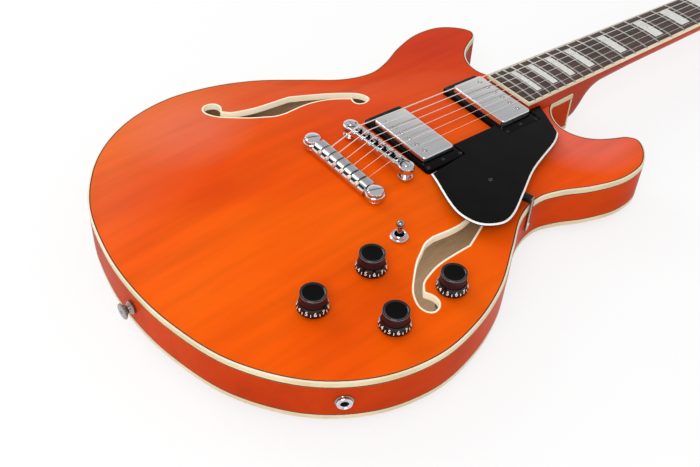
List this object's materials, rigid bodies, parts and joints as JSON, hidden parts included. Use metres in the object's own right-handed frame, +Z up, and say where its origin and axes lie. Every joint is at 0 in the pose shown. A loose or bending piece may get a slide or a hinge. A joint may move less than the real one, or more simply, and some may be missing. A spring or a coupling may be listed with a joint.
{
  "type": "semi-hollow electric guitar",
  "caption": "Thin-bodied double-cutaway semi-hollow electric guitar with an arched top, sound holes, two covered pickups, bridge, stop tailpiece, pickguard, knobs and tuners.",
  "frame": {"origin": "middle of the underside of the bounding box, on the plane that the guitar rests on when it lies on its back", "axes": "+Z up from the back towards the strings, +Y along the neck towards the headstock, +X towards the treble side"},
  "size_m": [0.399, 1.0672, 0.0888],
  "materials": {
    "orange_lacquered_top": "satin orange see-through lacquer",
    "red_lacquered_sides": "satin red-brown lacquer",
    "red_lacquered_neck": "satin red lacquer",
    "cream_binding": "satin cream",
    "raw_wood": "bare",
    "dark_fingerboard_wood": "oiled, with metal frets",
    "bone_white": "satin off-white",
    "black_plastic": "gloss black",
    "chrome_hardware": "polished",
    "nickel_tuners": "polished nickel",
    "string_steel": "bright wire",
    "bare_metal": "plain"
  },
  "bodies": {
    "guitar": {"truss_rod_cover": "black_plastic", "tuner_housing_bass_1": "nickel_tuners", "tuner_housing_bass_2": "nickel_tuners", "tuner_housing_bass_3": "nickel_tuners", "tuner_housing_treble_1": "nickel_tuners", "tuner_housing_treble_2": "nickel_tuners", "tuner_housing_treble_3": "nickel_tuners", "top_plate": "orange_lacquered_top", "back_plate": "red_lacquered_sides", "bass_f_hole_binding": "cream_binding", "treble_f_hole_binding": "cream_binding", "rim": "red_lacquered_sides", "top_binding": "cream_binding", "back_binding": "cream_binding", "centre_block": "raw_wood", "neck": "red_lacquered_neck", "truss_rod": "string_steel", "fingerboard": "dark_fingerboard_wood", "fingerboard_binding": "cream_binding", "nut": "bone_white", "bridge_pickup_ring": "black_plastic", "neck_pickup_ring": "black_plastic", "pickguard": "black_plastic", "pickguard_bracket": "chrome_hardware", "bridge": "chrome_hardware", "bridge_post_bass": "chrome_hardware", "bridge_post_treble": "chrome_hardware", "tailpiece": "chrome_hardware", "tailpiece_stud_bass": "chrome_hardware", "tailpiece_stud_treble": "chrome_hardware", "string_6": "string_steel", "string_5": "string_steel", "string_4": "string_steel", "string_3": "string_steel", "string_2": "string_steel", "string_1": "string_steel", "control_harness": "bare_metal", "toggle_switch": "chrome_hardware", "output_jack": "chrome_hardware", "tail_strap_button": "chrome_hardware", "heel_strap_button": "chrome_hardware"},
    "knob_bridge_volume": {"knob_bridge_volume": "black_plastic"},
    "knob_bridge_tone": {"knob_bridge_tone": "black_plastic"},
    "knob_neck_tone": {"knob_neck_tone": "black_plastic"},
    "knob_neck_volume": {"knob_neck_volume": "black_plastic"},
    "lever": {"toggle_lever": "chrome_hardware"},
    "key_bass_1": {"tuner_key_bass_1": "nickel_tuners"},
    "post_bass_1": {"tuner_post_bass_1": "nickel_tuners"},
    "key_bass_2": {"tuner_key_bass_2": "nickel_tuners"},
    "post_bass_2": {"tuner_post_bass_2": "nickel_tuners"},
    "key_bass_3": {"tuner_key_bass_3": "nickel_tuners"},
    "post_bass_3": {"tuner_post_bass_3": "nickel_tuners"},
    "key_treble_1": {"tuner_key_treble_1": "nickel_tuners"},
    "post_treble_1": {"tuner_post_treble_1": "nickel_tuners"},
    "key_treble_2": {"tuner_key_treble_2": "nickel_tuners"},
    "post_treble_2": {"tuner_post_treble_2": "nickel_tuners"},
    "key_treble_3": {"tuner_key_treble_3": "nickel_tuners"},
    "post_treble_3": {"tuner_post_treble_3": "nickel_tuners"},
    "bridge_pickup": {"bridge_pickup": "chrome_hardware"},
    "neck_pickup": {"neck_pickup": "chrome_hardware"}
  },
  "joints": [
    {"name": "bridge_volume_turn", "type": "hinge", "parent": "guitar", "child": "knob_bridge_volume", "pos_m": [0.103, -0.36065, 0.06653], "axis": [0, 0, 1], "range_deg": [-150, 150]},
    {"name": "bridge_tone_turn", "type": "hinge", "parent": "guitar", "child": "knob_bridge_tone", "pos_m": [0.10699, -0.42265, 0.06367], "axis": [0, 0, 1], "range_deg": [-150, 150]},
    {"name": "neck_tone_turn", "type": "hinge", "parent": "guitar", "child": "knob_neck_tone", "pos_m": [0.15751, -0.38165, 0.06132], "axis": [0, 0, 1], "range_deg": [-150, 150]},
    {"name": "neck_volume_turn", "type": "hinge", "parent": "guitar", "child": "knob_neck_volume", "pos_m": [0.15499, -0.31904, 0.06207], "axis": [0, 0, 1], "range_deg": [-150, 150]},
    {"name": "toggle_tilt", "type": "hinge", "parent": "guitar", "child": "lever", "pos_m": [0.0897, -0.31935, 0.0638], "axis": [1, 0, 0], "range_deg": [-12, 12]},
    {"name": "key_bass_1_turn", "type": "hinge", "parent": "guitar", "child": "key_bass_1", "pos_m": [-0.026, 0.40544, 0.02352], "axis": [1, 0, 0], "continuous": true},
    {"name": "post_bass_1_turn", "type": "hinge", "parent": "guitar", "child": "post_bass_1", "pos_m": [-0.026, 0.40827, 0.04109], "axis": [0, 0.1595, 0.9872], "continuous": true},
    {"name": "key_bass_2_turn", "type": "hinge", "parent": "guitar", "child": "key_bass_2", "pos_m": [-0.026, 0.44789, 0.01666], "axis": [1, 0, 0], "continuous": true},
    {"name": "post_bass_2_turn", "type": "hinge", "parent": "guitar", "child": "post_bass_2", "pos_m": [-0.026, 0.45072, 0.03424], "axis": [0, 0.1595, 0.9872], "continuous": true},
    {"name": "key_bass_3_turn", "type": "hinge", "parent": "guitar", "child": "key_bass_3", "pos_m": [-0.026, 0.49034, 0.00981], "axis": [1, 0, 0], "continuous": true},
    {"name": "post_bass_3_turn", "type": "hinge", "parent": "guitar", "child": "post_bass_3", "pos_m": [-0.026, 0.49317, 0.02738], "axis": [0, 0.1595, 0.9872], "continuous": true},
    {"name": "key_treble_1_turn", "type": "hinge", "parent": "guitar", "child": "key_treble_1", "pos_m": [0.026, 0.40544, 0.02352], "axis": [1, 0, 0], "continuous": true},
    {"name": "post_treble_1_turn", "type": "hinge", "parent": "guitar", "child": "post_treble_1", "pos_m": [0.026, 0.40827, 0.04109], "axis": [0, 0.1595, 0.9872], "continuous": true},
    {"name": "key_treble_2_turn", "type": "hinge", "parent": "guitar", "child": "key_treble_2", "pos_m": [0.026, 0.44789, 0.01666], "axis": [1, 0, 0], "continuous": true},
    {"name": "post_treble_2_turn", "type": "hinge", "parent": "guitar", "child": "post_treble_2", "pos_m": [0.026, 0.45072, 0.03424], "axis": [0, 0.1595, 0.9872], "continuous": true},
    {"name": "key_treble_3_turn", "type": "hinge", "parent": "guitar", "child": "key_treble_3", "pos_m": [0.026, 0.49034, 0.00981], "axis": [1, 0, 0], "continuous": true},
    {"name": "post_treble_3_turn", "type": "hinge", "parent": "guitar", "child": "post_treble_3", "pos_m": [0.026, 0.49317, 0.02738], "axis": [0, 0.1595, 0.9872], "continuous": true},
    {"name": "bridge_pickup_height", "type": "slide", "parent": "guitar", "child": "bridge_pickup", "axis": [0, 0.0471, 0.9989], "range_m": [-0.003, 0.003]},
    {"name": "neck_pickup_height", "type": "slide", "parent": "guitar", "child": "neck_pickup", "axis": [0, 0.0471, 0.9989], "range_m": [-0.003, 0.003]}
  ],
  "couplings": [
    {"joint": "post_bass_1_turn", "follows": "key_bass_1_turn", "ratio": -0.066667},
    {"joint": "post_bass_2_turn", "follows": "key_bass_2_turn", "ratio": -0.066667},
    {"joint": "post_bass_3_turn", "follows": "key_bass_3_turn", "ratio": -0.066667},
    {"joint": "post_treble_1_turn", "follows": "key_treble_1_turn", "ratio": 0.066667},
    {"joint": "post_treble_2_turn", "follows": "key_treble_2_turn", "ratio": 0.066667},
    {"joint": "post_treble_3_turn", "follows": "key_treble_3_turn", "ratio": 0.066667}
  ]
}
